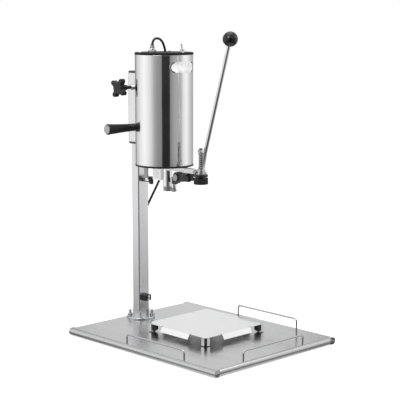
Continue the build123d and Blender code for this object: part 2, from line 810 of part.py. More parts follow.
# ---------------------------------------------------------------- head: lower clamp on the column
clamp_z = 437.0
clamp_radius = 6.0
clamp_foot = clamp_z + clamp_radius + 2.0
clamp_gap = 1.0  # the screw's tip stands this far off the column
strap = 3.0
with BuildPart() as clamp_bracket:
    with BuildSketch(Plane(origin=(-arm_width / 2 - strap / 2, 214, clamp_foot))):
        Rectangle(strap, 16)
    extrude(amount=head_bottom - clamp_foot)
    with BuildSketch(Plane(origin=(0, 223, clamp_foot))):
        RectangleRounded(arm_width + 2 * strap, 22, 3)
    extrude(amount=strap)
clamp_bracket.part.label = "clamp_bracket"
export_step(clamp_bracket.part, "parts/clamp_bracket.step")

boss_front = 211.0
with BuildPart() as clamp_boss:
    with BuildSketch(facing_front(0, column_front - clamp_gap, clamp_z)):
        Circle(clamp_radius)
    extrude(amount=column_front - clamp_gap - boss_front)
    with BuildSketch(Plane(origin=(0, 222, clamp_foot))):
        Rectangle(10, 14)
    extrude(amount=clamp_z - clamp_foot)
    with BuildSketch(facing_front(0, column_front - clamp_gap, clamp_z)):
        Circle(3 + running)
    extrude(amount=column_front - clamp_gap - boss_front, mode=Mode.SUBTRACT)
clamp_boss.part.label = "clamp_boss"
export_step(clamp_boss.part, "parts/clamp_boss.step")

with BuildPart() as clamp_knob:
    with BuildSketch(facing_front(0, column_front - clamp_gap, clamp_z)):
        Circle(3)
    extrude(amount=column_front - clamp_gap - boss_front + 6)
    with BuildSketch(facing_front(0, boss_front - slip, clamp_z)):
        SlotOverall(21, 9, rotation=90)
    extrude(amount=10)
    fillet(clamp_knob.faces().sort_by(Axis.Y)[0].outer_wire().edges(), 1)
clamp_knob.part.label = "clamp_knob"
export_step(clamp_knob.part, "parts/clamp_knob.step")

# ---------------------------------------------------------------- star knob and lifting handle
star_reach = 59.0  # star face from the sleeve's side
stud_tip = column_width / 2 + 0.6
with BuildPart() as star_knob:
    with BuildSketch(facing_left(-stud_tip, column_y, star_z)):
        Circle(stud_hole - running)
    extrude(amount=sleeve_x + star_reach - stud_tip - 4)
    with BuildSketch(facing_left(-sleeve_x - star_reach + 38, column_y, star_z)):
        Circle(7)
    with BuildSketch(facing_left(-sleeve_x - star_reach + 14, column_y, star_z)):
        Circle(13)
    loft()
    with BuildSketch(facing_left(-sleeve_x - star_reach + 15, column_y, star_z)):
        Circle(17)
        with PolarLocations(0, 2, start_angle=55, angular_range=180):
            SlotOverall(2 * star_radius, 14)
    extrude(amount=15)
    fillet(star_knob.faces().sort_by(Axis.X)[0].edges(), 2.5)
star_knob.part.label = "star_knob"
export_step(star_knob.part, "parts/star_knob.step")

grip_tip = 15.5
with BuildPart() as handle_grip:
    with BuildSketch(Plane(origin=(-sleeve_x, column_y, handle_z), x_dir=(-1, 0, 0), z_dir=(0, -1, 0))):
        with BuildLine():
            root = Polyline((0, stud_hole), (0, 10), (2, 10.8))
            side = Spline(root @ 1, (handle_length * 0.5, 12.8), (handle_length - 5, grip_tip))
            end = ThreePointArc(side @ 1, (handle_length - 1.3, grip_tip - 1), (handle_length, grip_tip - 3))
            Polyline(end @ 1, (handle_length, stud_hole), (0, stud_hole))
        make_face()
    revolve(axis=Axis((0, column_y, handle_z), (1, 0, 0)))
handle_grip.part.label = "handle_grip"
export_step(handle_grip.part, "parts/handle_grip.step")

with BuildPart() as handle_stud:
    with BuildSketch(facing_left(-sleeve_x + sleeve_wall, column_y, handle_z)):
        Circle(stud_hole)
    extrude(amount=handle_length + sleeve_wall)
    with BuildSketch(facing_left(-sleeve_x - handle_length, column_y, handle_z)):
        Circle(grip_tip - 3)
    extrude(amount=1.2)
    fillet(handle_stud.faces().sort_by(Axis.X)[0].edges(), 0.6)
handle_stud.part.label = "handle_stud"
export_step(handle_stud.part, "parts/handle_stud.step")

# ---------------------------------------------------------------- plunger, its spring and its knob
spring_foot = head_bottom + seat_height
spring_top = spring_foot + spring_height
eye_top = arm_bottom - 0.7
eye_bottom = eye_top - eye_thickness
knob_top = eye_bottom - 3.6  # the eye tips 7 degrees over the knob
with BuildPart() as plunger_screw:
    with BuildSketch(plunger_axis.offset(knob_top - knob_height - 1.5)):
        Circle(plunger_radius)
    extrude(amount=spring_top + 12 - knob_top + knob_height + 1.5)
    chamfer(plunger_screw.edges().filter_by(GeomType.CIRCLE), 0.8)
plunger_screw.part.label = "plunger_screw"
export_step(plunger_screw.part, "parts/plunger_screw.step")

with BuildPart() as plunger_nut:
    with BuildSketch(plunger_axis.offset(spring_top)):
        Circle(9.2)
        Circle(plunger_radius + running, mode=Mode.SUBTRACT)
    extrude(amount=2.5)
    with BuildSketch(plunger_axis.offset(spring_top + 2.5)):
        RegularPolygon(8, 6, major_radius=False)
        Circle(plunger_radius + running, mode=Mode.SUBTRACT)
    extrude(amount=6.5)
plunger_nut.part.label = "plunger_nut"
export_step(plunger_nut.part, "parts/plunger_nut.step")

with BuildPart() as plunger_spring:
    lift = spring_height - 2 * spring_wire - 0.2
    with BuildLine(plunger_axis.offset(spring_foot + spring_wire + 0.1)):
        Helix(pitch=lift / spring_turns, height=lift, radius=spring_radius)
    with BuildSketch(
        Plane(
            origin=(spring_radius, plunger_y, spring_foot + spring_wire + 0.1),
            x_dir=(1, 0, 0),
            z_dir=(0, 1, lift / spring_turns / (2 * pi * spring_radius)),
        )
    ):
        Circle(spring_wire)
    sweep(is_frenet=True)
plunger_spring.part.label = "plunger_spring"
export_step(plunger_spring.part, "parts/plunger_spring.step")

with BuildPart() as adjusting_knob:
    with BuildSketch(plunger_axis.offset(knob_top - knob_height)):
        Circle(knob_radius)
        with PolarLocations(knob_radius + 0.9, 40):
            Circle(1.4, mode=Mode.SUBTRACT)
    extrude(amount=knob_height)
    fillet(adjusting_knob.faces().sort_by(Axis.Z)[0].edges(), 0.6)
    with BuildSketch(plunger_axis.offset(knob_top)):
        Circle(8)
    with BuildSketch(plunger_axis.offset(knob_top + 2)):
        Circle(6.3)
    loft()
    with BuildSketch(plunger_axis.offset(knob_top - knob_height)):
        Circle(plunger_radius + running)
    extrude(amount=knob_height + 2, mode=Mode.SUBTRACT)
adjusting_knob.part.label = "adjusting_knob"
export_step(adjusting_knob.part, "parts/adjusting_knob.step")

# ---------------------------------------------------------------- rocker with the cutter
hub_outer = 20.0  # hub's outer face from the middle plane
block_bottom = 441.0
block_height = 11.0
hub_inner = arm_width / 2 + slip
with BuildPart() as rocker_arm:
    with BuildSketch(facing_left(-hub_inner, rocker_y, rocker_z)):
        Circle(hub_radius)
        with Locations((25, -1)):
            Rectangle(50, 15)
    extrude(amount=hub_outer - hub_inner)
    with BuildSketch(Plane(origin=(-hub_outer / 2 + 6, 50, rocker_z - 8.5))):
        RectangleRounded(hub_outer + 12, 26, 3)
    extrude(amount=eye_bottom + 4 - rocker_z + 8.5)
    with BuildSketch(Plane(origin=(0, 26, eye_bottom))):
        Rectangle(20, 32)
    extrude(amount=eye_thickness)
    with BuildSketch(plunger_axis.offset(eye_bottom)):
        Circle(eye_radius)
    extrude(amount=eye_thickness)
    with BuildSketch(Plane.XY.offset(block_bottom)):
        with BuildLine():
            Polyline(
                (-hub_outer, rocker_y + 2),
                (-hub_outer, rocker_y + 18),
                (-3.5, cutter_y + 5.5),
                (7, cutter_y + 5.5),
                (7, rocker_y + 12),
                (-hub_inner, rocker_y + 12),
                (-hub_inner, rocker_y + 2),
                close=True,
            )
        make_face()
    extrude(amount=block_height)
    with BuildSketch(Plane(origin=(-(hub_inner + hub_outer) / 2, rocker_y + 10, block_bottom))):
        Rectangle(hub_outer - hub_inner, 16)
    extrude(amount=rocker_z - block_bottom)
    with BuildSketch(plunger_axis.offset(eye_bottom)):
        Circle(plunger_radius + 1.6)
    extrude(amount=eye_thickness, mode=Mode.SUBTRACT)
    with BuildSketch(facing_left(-hub_inner, rocker_y, rocker_z)):
        Circle(pin_radius + running)
    extrude(amount=hub_outer - hub_inner, mode=Mode.SUBTRACT)
    with BuildSketch(Plane(origin=(0, cutter_y, block_bottom))):
        Circle(axle_radius)
    extrude(amount=block_height, mode=Mode.SUBTRACT)
rocker_arm.part.label = "rocker_arm"
export_step(rocker_arm.part, "parts/rocker_arm.step")

cutter_axis = Plane(origin=(0, cutter_y, 0))
bush_bottom = cutter_bottom + cutter_thickness + slip
with BuildPart() as cutter_axle:
    with BuildSketch(cutter_axis.offset(cutter_bottom - slip)):
        Circle(axle_radius)
    extrude(amount=block_bottom + block_height - cutter_bottom + slip)
    with BuildSketch(cutter_axis.offset(bush_bottom)):
        Circle(7.5)
    extrude(amount=block_bottom - bush_bottom)
    with BuildSketch(cutter_axis.offset(cutter_bottom - slip)):
        Circle(5)
    extrude(amount=-1.5)
    fillet(cutter_axle.edges().filter_by(GeomType.CIRCLE).sort_by(SortBy.RADIUS)[-2:], 1.5)
cutter_axle.part.label = "cutter_axle"
export_step(cutter_axle.part, "parts/cutter_axle.step")

with BuildPart() as cutter_wheel:
    with BuildSketch(Plane(origin=(0, cutter_y, 0), x_dir=(1, 0, 0), z_dir=(0, -1, 0))):
        with BuildLine():
            bore = axle_radius + running
            low = cutter_bottom
            edge = cutter_bottom + 3
            Polyline(
                (bore, low),
                (cutter_radius - 2, low),
                (cutter_radius, edge),
                (cutter_radius - 2.5, edge + 2.5),
                (cutter_radius - 2.5, low + cutter_thickness),
                (bore, low + cutter_thickness),
                close=True,
            )
        make_face()
    revolve(axis=Axis((0, cutter_y, 0), (0, 0, 1)))
cutter_wheel.part.label = "cutter_wheel"
export_step(cutter_wheel.part, "parts/cutter_wheel.step")

# ---------------------------------------------------------------- lever
lever_hub = 7.2
lever_thickness = 8.0
toe_reach = 13.0
toe_angle = 14.2
lever_side = Plane(origin=(lever_x - lever_thickness / 2, lever_y, lever_z), x_dir=(0, 1, 0), z_dir=(1, 0, 0))
toe = (-toe_reach * cos(radians(toe_angle)), -toe_reach * sin(radians(toe_angle)))
neck = (-3.0, 16.0)
bend_point = (-12.0, 58.0)
with BuildPart() as lever_arm:
    with BuildSketch(lever_side):
        Circle(lever_hub)
        with Locations(toe):
            Circle(3)
        with BuildLine():
            Polyline((0, lever_hub), (0, -3), (toe[0], toe[1] - 3), (toe[0], toe[1] + 3), close=True)
        make_face()
        with BuildLine():
            Polyline((-8, 0), (5, 0), (neck[0] + 5.5, neck[1]), (neck[0] - 5.5, neck[1]), close=True)
        make_face()
    extrude(amount=lever_thickness)
    with BuildLine():
        FilletPolyline(
            (lever_x, lever_y + neck[0], lever_z + neck[1] - 6),
            (lever_x, lever_y + bend_point[0], lever_z + bend_point[1]),
            (lever_x, lever_y + lever_lean, lever_z + lever_rise),
            radius=140,
        )
    with BuildSketch(
        Plane(
            origin=(lever_x, lever_y + neck[0], lever_z + neck[1] - 6),
            z_dir=(0, bend_point[0] - neck[0], bend_point[1] - neck[1] + 6),
        )
    ):
        Circle(lever_radius)
    sweep()
    with BuildSketch(lever_side):
        Circle(pin_radius + running)
    extrude(amount=lever_thickness, mode=Mode.SUBTRACT)
    with Locations((lever_x, lever_y + lever_lean, lever_z + lever_rise)):
        Sphere(lever_ball_radius - 9, mode=Mode.SUBTRACT)
lever_arm.part.label = "lever_arm"
export_step(lever_arm.part, "parts/lever_arm.step")

ball_centre_point = Vector(lever_x, lever_y + lever_lean, lever_z + lever_rise)
ball_direction = Vector(0, lever_lean - bend_point[0], lever_rise - bend_point[1]).normalized()
ball_mouth = ball_centre_point - ball_direction * (lever_ball_radius + 1)
with BuildPart() as lever_ball:
    with Locations(ball_centre_point):
        Sphere(lever_ball_radius)
    with BuildSketch(Plane(origin=ball_mouth, z_dir=ball_direction)):
        Circle(lever_radius)
    extrude(amount=lever_ball_radius + 1, mode=Mode.SUBTRACT)
lever_ball.part.label = "lever_ball"
export_step(lever_ball.part, "parts/lever_ball.step")

# ---------------------------------------------------------------- pivot bolts of the rocker and the lever
with BuildPart() as pivot_bolts:
    with BuildSketch(facing_left(arm_width / 2 + 6, rocker_y, rocker_z)):
        Circle(pin_radius)
    extrude(amount=hub_outer + slip + arm_width / 2 + 6)
    with BuildSketch(facing_left(-hub_outer - slip, rocker_y, rocker_z)):
        Circle(10)
        with PolarLocations(10.6, 18):
            Circle(1.2, mode=Mode.SUBTRACT)
    extrude(amount=5)
    with BuildSketch(facing_left(arm_width / 2 + 6, rocker_y, rocker_z)):
        RegularPolygon(6.5, 6, major_radius=False)
    extrude(amount=6)
    lever_face = lever_x + lever_thickness / 2 + slip
    with BuildSketch(facing_left(lever_face, lever_y, lever_z)):
        Circle(pin_radius)
    extrude(amount=lever_face + arm_width / 2 + 5)
    with BuildSketch(facing_left(lever_face + 4.5, lever_y, lever_z)):
        RegularPolygon(5.5, 6, major_radius=False)
    extrude(amount=4.5)
    with BuildSketch(facing_left(-arm_width / 2, lever_y, lever_z)):
        RegularPolygon(5.5, 6, major_radius=False)
    extrude(amount=5)
pivot_bolts.part.label = "pivot_bolts"
export_step(pivot_bolts.part, "parts/pivot_bolts.step")

# ---------------------------------------------------------------- mains cord
# The route is chosen by hand: out of the gland, over the rim, down behind the housing, behind
# the column and on to the table, then a tied hank in line with the column and the plug on it.
split_share = 0.5  # where the head's stretch ends, along the run that crosses to the column
upper_route = [
    (-7, 190, boot_top),
    (-7, 190, 835),
    (-2, 191, 844.5),
    (8, 194, 850),
    (27, 199, 849.5),
    (43, 204, 842),
    (56, 209, 828.5),
    (64, 212, 810),
    (68, 213, 785),
    (70, 213, 750),
    (70, 213, 700),
    (72, 211, 630),
    (70, 212, 545),
    (67, 219, 478),
    (62, 238, 430),
]
lower_route = [
    (57, 266, 381),
    (51, 294, 330),
    (49, 307, 268),
    (52, 311, 195),
    (51, 310, 120),
    (52, 311, 66),
    (54, 317, 34),
    (58, 330, 13),
    (63, 348, cord_radius),
    (72, 368, cord_radius),
    (83.4, 381.5, cord_radius),
]
hank_along = (0.661, 0.751)  # horizontal direction of the hank
hank_middle = 170.0  # hank's centre from the column's axis
hank_half_run = 36.0
hank_bend = 21.0
hank_height = 6 * cord_radius + 0.3


def behind(along, across, height):
    """Point behind the column, in the hank's own directions."""
    ux, uy = hank_along
    return (ux * along - uy * across, column_y + uy * along + ux * across, height)


def corner_radii(points):
    """Largest tangent arcs that leave a tenth of each run straight."""
    radii = []
    for before, corner, after in zip(points, points[1:], points[2:]):
        first = Vector(*corner) - Vector(*before)
        second = Vector(*after) - Vector(*corner)
        run = min(first.length, second.length)
        radii.append(0.45 * run / tan(radians(first.get_angle(second)) / 2))
    return radii


def cord_tube(points, name):
    """Round cord along straight runs joined by tangent arcs."""
    radii = corner_radii(points)
    with BuildLine() as path:
        FilletPolyline(*points, radius=radii)
    wire = path.wire()
    start = Vector(*points[0])
    with BuildSketch(Plane(origin=start, z_dir=Vector(*points[1]) - start)) as section:
        Circle(cord_radius)
    sweep(section.sketch, path=wire)
    print(name, "length", round(wire.length, 1), "radii", [round(r) for r in radii])
    print(name, "section times length", round(pi * cord_radius**2 * wire.length))


join = tuple(
    a + split_share * (b - a) for a, b in zip(upper_route[-1], lower_route[0])
)
with BuildPart() as cord_upper:
    cord_tube(upper_route + [join], "cord_upper")
print("cord_upper volume", round(cord_upper.part.volume))
cord_upper.part.label = "cord_upper"
export_step(cord_upper.part, "parts/cord_upper.step")

with BuildPart() as cord_drop:
    cord_tube([join] + lower_route, "cord_drop")
print("cord_drop volume", round(cord_drop.part.volume))
cord_drop.part.label = "cord_drop"
export_step(cord_drop.part, "parts/cord_drop.step")

plug_radius = 18.0
plug_length = 38.0
plug_tail = 177.5  # tail face of the plug, from the column's axis
plug_across = 2.5
plug_z = hank_height + plug_radius + slip
tail_route = [
    behind(113, -2, 23),
    behind(115.5, 9, 25),
    behind(122.5, 17.5, 26.5),
    behind(132.5, 21, 29),
    behind(144.5, 18.5, 33),
    behind(156, 10, 37),
    behind(plug_tail - 11, plug_across, plug_z),
    behind(plug_tail, plug_across, plug_z),
]
hank_plane = Plane(origin=behind(hank_middle, 0, 0), x_dir=(*hank_along, 0), z_dir=(0, 0, 1))
with BuildPart() as cord_hank:
    with BuildSketch(hank_plane):
        SlotCenterToCenter(2 * hank_half_run, 2 * (hank_bend + cord_radius))
        SlotCenterToCenter(2 * hank_half_run, 2 * (hank_bend - 2 * cord_radius), mode=Mode.SUBTRACT)
    extrude(amount=hank_height)
    cord_tube(tail_route, "tail")
cord_hank.part.label = "cord_hank"
export_step(cord_hank.part, "parts/cord_hank.step")

plug_direction = Vector(*hank_along, 0)
plug_plane = Plane(
    origin=behind(plug_tail, plug_across, plug_z), x_dir=(0, 0, 1), z_dir=plug_direction
)
with BuildPart() as mains_plug:
    with BuildSketch(plug_plane):
        Circle(4.5)
    with BuildSketch(plug_plane.offset(14)):
        Circle(9)
    loft()
    with BuildSketch(plug_plane.offset(14)):
        Circle(9)
    with BuildSketch(plug_plane.offset(24)):
        Circle(plug_radius)
    loft()
    with BuildSketch(plug_plane.offset(24)):
        Circle(plug_radius)
    extrude(amount=plug_length - 24)
    with BuildSketch(plug_plane.offset(plug_length)):
        with Locations((0, 9.5), (0, -9.5)):
            Circle(2.4)
    extrude(amount=19)
mains_plug.part.label = "mains_plug"
export_step(mains_plug.part, "parts/mains_plug.step")
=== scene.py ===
"""Looks of the bench tin opener: materials, smooth meshes, mains cord, studio and camera.

Lengths are in metres, in the frame of the CAD model.
"""

import json
import math

import bmesh
import bpy
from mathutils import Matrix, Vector


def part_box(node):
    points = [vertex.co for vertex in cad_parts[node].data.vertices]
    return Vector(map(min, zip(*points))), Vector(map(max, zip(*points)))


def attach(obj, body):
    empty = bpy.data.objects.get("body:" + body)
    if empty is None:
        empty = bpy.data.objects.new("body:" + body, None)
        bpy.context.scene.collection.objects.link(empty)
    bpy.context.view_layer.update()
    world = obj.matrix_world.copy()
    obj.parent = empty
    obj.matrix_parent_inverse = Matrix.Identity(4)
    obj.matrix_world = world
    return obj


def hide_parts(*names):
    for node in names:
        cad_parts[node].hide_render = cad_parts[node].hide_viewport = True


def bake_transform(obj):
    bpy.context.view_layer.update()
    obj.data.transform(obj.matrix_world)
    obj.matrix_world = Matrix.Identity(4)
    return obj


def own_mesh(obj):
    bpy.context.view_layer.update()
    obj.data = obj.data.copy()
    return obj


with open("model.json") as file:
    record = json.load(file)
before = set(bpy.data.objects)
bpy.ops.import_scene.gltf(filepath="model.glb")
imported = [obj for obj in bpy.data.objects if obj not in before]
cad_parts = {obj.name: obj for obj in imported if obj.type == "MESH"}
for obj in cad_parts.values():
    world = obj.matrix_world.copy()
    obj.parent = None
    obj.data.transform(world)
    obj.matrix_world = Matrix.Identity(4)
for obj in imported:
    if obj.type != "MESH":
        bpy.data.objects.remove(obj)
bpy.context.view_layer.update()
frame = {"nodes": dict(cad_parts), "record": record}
scene = bpy.context.scene
nodes_of_body = frame["record"]["behaviour"]["bodies"]
body_of_node = {node: body for body, nodes in nodes_of_body.items() for node in nodes}


# ---------------------------------------------------------------- camera
camera = bpy.data.objects.new("camera", bpy.data.cameras.new("camera"))
scene.collection.objects.link(camera)
camera.location = (-2.3930, -2.4643, 0.9370)
camera_target = Vector((-0.0011, 0, 0.4029))
camera.rotation_euler = (camera_target - camera.location).to_track_quat("-Z", "Y").to_euler()
camera.data.sensor_width = 36
camera.data.lens = 111.3
scene.camera = camera
scene.view_settings.view_transform = "Standard"


# ---------------------------------------------------------------- mesh helpers
def mesh_piece(name, points, faces, crease=35):
    """Object from points and faces, smooth except across edges sharper than crease degrees."""
    data = bpy.data.meshes.new(name)
    data.from_pydata([tuple(p) for p in points], [], faces)
    data.validate()
    data.shade_smooth()
    data.set_sharp_from_angle(angle=math.radians(crease))
    piece = bpy.data.objects.new(name, data)
    scene.collection.objects.link(piece)
    return piece


def axes_of(direction):
    """Two unit vectors square to direction."""
    direction = Vector(direction).normalized()
    helper = Vector((0, 0, 1)) if abs(direction.z) < 0.9 else Vector((1, 0, 0))
    first = helper.cross(direction).normalized()
    return first, direction.cross(first)


def lathe(name, profile, centre, direction=(0, 0, 1), segments=96, closed=True):
    """Turned piece: profile is a list of (radius, height) from centre along direction."""
    first, second = axes_of(direction)
    axis, centre = Vector(direction).normalized(), Vector(centre)
    points, rings = [], []
    for radius, height in profile:
        start = len(points)
        if radius < 1e-7:
            points.append(centre + axis * height)
            rings.append([start] * segments)
            continue
        for k in range(segments):
            turn = 2 * math.pi * k / segments
            spoke = first * math.cos(turn) + second * math.sin(turn)
            points.append(centre + axis * height + spoke * radius)
        rings.append(list(range(start, start + segments)))
    pairs = list(zip(rings, rings[1:]))
    if closed:
        pairs.append((rings[-1], rings[0]))
    faces = []
    for low, high in pairs:
        for k in range(segments):
            n = (k + 1) % segments
            face = list(dict.fromkeys([low[k], low[n], high[n], high[k]]))
            if len(face) > 2:
                faces.append(face)
    return mesh_piece(name, points, faces)


def rounded_corner(radius, height, size, out, up, steps=5):
    """Quarter-round profile points at an outer corner; out and up are +1 or -1."""
    centre = (radius - out * size, height - up * size)
    turns = [math.pi / 2 * k / steps for k in range(steps + 1)]
    return [(centre[0] + out * size * math.cos(t), centre[1] + up * size * math.sin(t)) for t in turns]


def tube_mesh(path, radius, sides):
    """Points and faces of a round tube along path, with flat closed ends."""
    count = len(path)
    points, faces = [], []
    direction = (path[1] - path[0]).normalized()
    spoke = axes_of(direction)[0]
    for k, spot in enumerate(path):
        ahead = path[min(k + 1, count - 1)] - path[max(k - 1, 0)]
        direction = ahead.normalized()
        spoke = (spoke - direction * spoke.dot(direction)).normalized()
        other = direction.cross(spoke)
        for side in range(sides):
            turn = 2 * math.pi * side / sides
            points.append(spot + (spoke * math.cos(turn) + other * math.sin(turn)) * radius)
    for k in range(count - 1):
        for side in range(sides):
            n = (side + 1) % sides
            low, high = k * sides, (k + 1) * sides
            faces.append([low + side, low + n, high + n, high + side])
    faces.append(list(range(sides))[::-1])
    faces.append(list(range((count - 1) * sides, count * sides)))
    return points, faces


def tube(name, path, radius, sides):
    """Round tube along path, as its own object."""
    return mesh_piece(name, *tube_mesh([Vector(p) for p in path], radius, sides), crease=50)


def coil(name, centre, foot, turns, reach_at, rise_at, wire_radius, sides):
    """Round wire wound about an upright axis; reach_at and rise_at give radius and height by turns wound."""
    steps_per_turn = 28
    spots = []
    for k in range(int(steps_per_turn * turns) + 1):
        wound = k / steps_per_turn
        angle, reach = 2 * math.pi * wound, reach_at(wound)
        spots.append((
            centre.x + reach * math.cos(angle),
            centre.y + reach * math.sin(angle),
            foot + rise_at(wound),
        ))
    return tube(name, spots, wire_radius, sides)


def between(first, last, share):
    """Value that lies share of the way from first to last."""
    return first + (last - first) * share


def centre_of(node):
    """Middle of a CAD node's box."""
    low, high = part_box(node)
    return (low + high) / 2


def size_of(node):
    """Extents of a CAD node's box."""
    low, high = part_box(node)
    return high - low


# ---------------------------------------------------------------- materials
class Surface:
    """One procedural material: a Principled shader with noise over colour, roughness and bump."""

    def __init__(self, name, colour, metallic=0.0):
        self.material = bpy.data.materials.new(name)
        self.material.use_nodes = True
        self.tree = self.material.node_tree
        self.shader = self.tree.nodes["Principled BSDF"]
        self.shader.inputs["Metallic"].default_value = metallic
        self.colour = colour
        self.place = self.tree.nodes.new("ShaderNodeTexCoord").outputs["Object"]
        self.normal = None

    def noise(self, scale, stretch=(1, 1, 1), detail=3.0, roughness=0.5):
        """Noise over the object's own coordinates, stretched along the axes with small factors."""
        mapping = self.tree.nodes.new("ShaderNodeMapping")
        mapping.inputs["Scale"].default_value = stretch
        texture = self.tree.nodes.new("ShaderNodeTexNoise")
        texture.inputs["Scale"].default_value = scale
        texture.inputs["Detail"].default_value = detail
        texture.inputs["Roughness"].default_value = roughness
        self.tree.links.new(self.place, mapping.inputs["Vector"])
        self.tree.links.new(mapping.outputs["Vector"], texture.inputs["Vector"])
        return texture.outputs["Fac"]

    def spread(self, source, low, high, start=0.3, end=0.7):
        """Maps a noise onto a range of values."""
        node = self.tree.nodes.new("ShaderNodeMapRange")
        node.inputs["From Min"].default_value = start
        node.inputs["From Max"].default_value = end
        node.inputs["To Min"].default_value = low
        node.inputs["To Max"].default_value = high
        self.tree.links.new(source, node.inputs["Value"])
        return node.outputs["Result"]

    def together(self, first, second, operation="ADD"):
        """Sum, or another operation, of two values."""
        node = self.tree.nodes.new("ShaderNodeMath")
        node.operation = operation
        self.tree.links.new(first, node.inputs[0])
        self.tree.links.new(second, node.inputs[1])
        return node.outputs["Value"]

    def colour_between(self, source, darker, lighter):
        """Base colour runs between two shades of the material's colour."""
        ramp = self.tree.nodes.new("ShaderNodeValToRGB")
        ramp.color_ramp.elements[0].position = 0.3
        ramp.color_ramp.elements[1].position = 0.7
        for element, shade in zip(ramp.color_ramp.elements, (darker, lighter)):
            element.color = (*[min(1.0, c * shade) for c in self.colour], 1)
        self.tree.links.new(source, ramp.inputs["Fac"])
        self.tree.links.new(ramp.outputs["Color"], self.shader.inputs["Base Color"])
        return self

    def rough(self, source):
        """Takes the roughness from a value."""
        self.tree.links.new(source, self.shader.inputs["Roughness"])
        return self

    def bump(self, source, depth, strength=1.0):
        """Adds a bump of the given depth in metres over what is there already."""
        node = self.tree.nodes.new("ShaderNodeBump")
        node.inputs["Distance"].default_value = depth
        node.inputs["Strength"].default_value = strength
        self.tree.links.new(source, node.inputs["Height"])
        if self.normal is not None:
            self.tree.links.new(self.normal, node.inputs["Normal"])
        self.normal = node.outputs["Normal"]
        self.tree.links.new(self.normal, self.shader.inputs["Normal"])
        return self

    def set(self, **values):
        """Sets shader inputs by name, with underscores for spaces."""
        for key, value in values.items():
            self.shader.inputs[key.replace("_", " ")].default_value = value
        return self


def brushed(name, colour, stretch, low, high, depth):
    """Brushed metal whose grain runs along the axis with the smallest stretch."""
    made = Surface(name, colour, 1.0)
    grain = made.noise(40, stretch, 4, 0.65)
    smudge = made.noise(9, (1, 1, 1), 3)
    made.colour_between(made.together(grain, smudge, "MULTIPLY"), 0.9, 1.04)
    made.rough(made.together(made.spread(grain, low, high), made.spread(smudge, 0, 0.05)))
    return made.bump(grain, depth)


def plated(name, colour, low, high):
    """Plated, ground or cast metal: cloudy colour and a fine mottled skin."""
    made = Surface(name, colour, 1.0)
    mottle = made.noise(160, (1, 1, 1), 4, 0.6)
    cloud = made.noise(30, (1, 1, 1), 2)
    made.colour_between(cloud, 0.82, 1.08)
    made.rough(made.spread(mottle, low, high))
    return made.bump(mottle, 0.00004)


def moulded(name, colour, low, high, depth, scale=900):
    """Moulded plastic, rubber or paint: fine texture, faint handling marks."""
    made = Surface(name, colour, 0.0)
    grain = made.noise(scale, (1, 1, 1), 3, 0.6)
    marks = made.noise(45, (1, 1, 1), 4, 0.6)
    made.colour_between(marks, 0.75, 1.35)
    made.rough(made.spread(marks, low, high))
    return made.bump(grain, depth)


def cast(name, colour, low, high):
    """Blackened cast or forged steel: coarse skin with lighter worn patches."""
    made = Surface(name, colour, 0.55)
    skin = made.noise(420, (1, 1, 1), 5, 0.7)
    wear = made.noise(60, (1, 1, 1), 3)
    made.colour_between(wear, 0.6, 2.2)
    made.rough(made.spread(skin, low, high))
    return made.bump(skin, 0.00018)


surfaces = {
    "plate": brushed("plate_steel", (0.53, 0.53, 0.535), (1, 0.04, 1), 0.16, 0.27, 0.000012),
    "column": brushed("column_steel", (0.68, 0.68, 0.69), (1, 1, 0.03), 0.16, 0.28, 0.000015),
    "sleeve": brushed("sleeve_steel", (0.72, 0.72, 0.73), (1, 1, 0.03), 0.18, 0.3, 0.000015),
    "shell": brushed("shell_steel", (0.78, 0.78, 0.785), (1, 1, 0.05), 0.07, 0.12, 0.000004),
    "fence": brushed("fence_steel", (0.5, 0.5, 0.51), (1, 1, 0.2), 0.12, 0.22, 0.000008),
    "dark_metal": brushed("dark_metal", (0.3, 0.3, 0.305), (1, 1, 0.3), 0.2, 0.34, 0.00002),
    "bright": brushed("bright_steel", (0.8, 0.8, 0.805), (1, 1, 0.2), 0.08, 0.16, 0.000008),
    "arm": brushed("arm_steel", (0.62, 0.62, 0.63), (1, 0.05, 1), 0.22, 0.36, 0.00002),
    "zinc": plated("zinc_plate", (0.66, 0.67, 0.68), 0.22, 0.4),
    "ground": plated("ground_steel", (0.4, 0.4, 0.41), 0.25, 0.42),
    "alloy": plated("cast_alloy", (0.72, 0.72, 0.73), 0.35, 0.55),
    "badge": moulded("badge_face", (0.56, 0.56, 0.56), 0.25, 0.35, 0.000006, 300),
    "badge_rim": moulded("badge_rim", (0.03, 0.03, 0.032), 0.25, 0.4, 0.00001),
    "bronze": plated("gear_bronze", (0.66, 0.47, 0.22), 0.25, 0.4),
    "enamel": moulded("motor_enamel", (0.14, 0.17, 0.2), 0.3, 0.45, 0.00003),
    "black": moulded("black_plastic", (0.008, 0.008, 0.0085), 0.3, 0.5, 0.00004).set(Specular_IOR_Level=0.3),
    "gloss": moulded("ball_plastic", (0.004, 0.004, 0.0045), 0.1, 0.18, 0.000008).set(Specular_IOR_Level=0.4),
    "rubber": moulded("rubber", (0.012, 0.012, 0.0125), 0.5, 0.7, 0.00006).set(Specular_IOR_Level=0.3),
    "cord": moulded("cord_sheath", (0.008, 0.008, 0.0085), 0.35, 0.5, 0.00003).set(Specular_IOR_Level=0.3),
    "nylon": moulded("white_nylon", (0.78, 0.78, 0.76), 0.4, 0.55, 0.00004).set(Subsurface_Weight=0.1),
    "black_nylon": moulded("black_nylon", (0.03, 0.03, 0.031), 0.35, 0.5, 0.00003),
    "forged": cast("forged_steel", (0.016, 0.016, 0.0165), 0.2, 0.36),
    "lid": moulded("lid_plastic", (0.008, 0.008, 0.0085), 0.5, 0.65, 0.00004).set(Specular_IOR_Level=0.08),
    "iron": cast("black_iron", (0.035, 0.035, 0.036), 0.35, 0.6),
}


def finish_of(piece, surface):
    """Piece takes one of the surfaces as its only material."""
    piece.data.materials.clear()
    piece.data.materials.append(surfaces[surface].material)


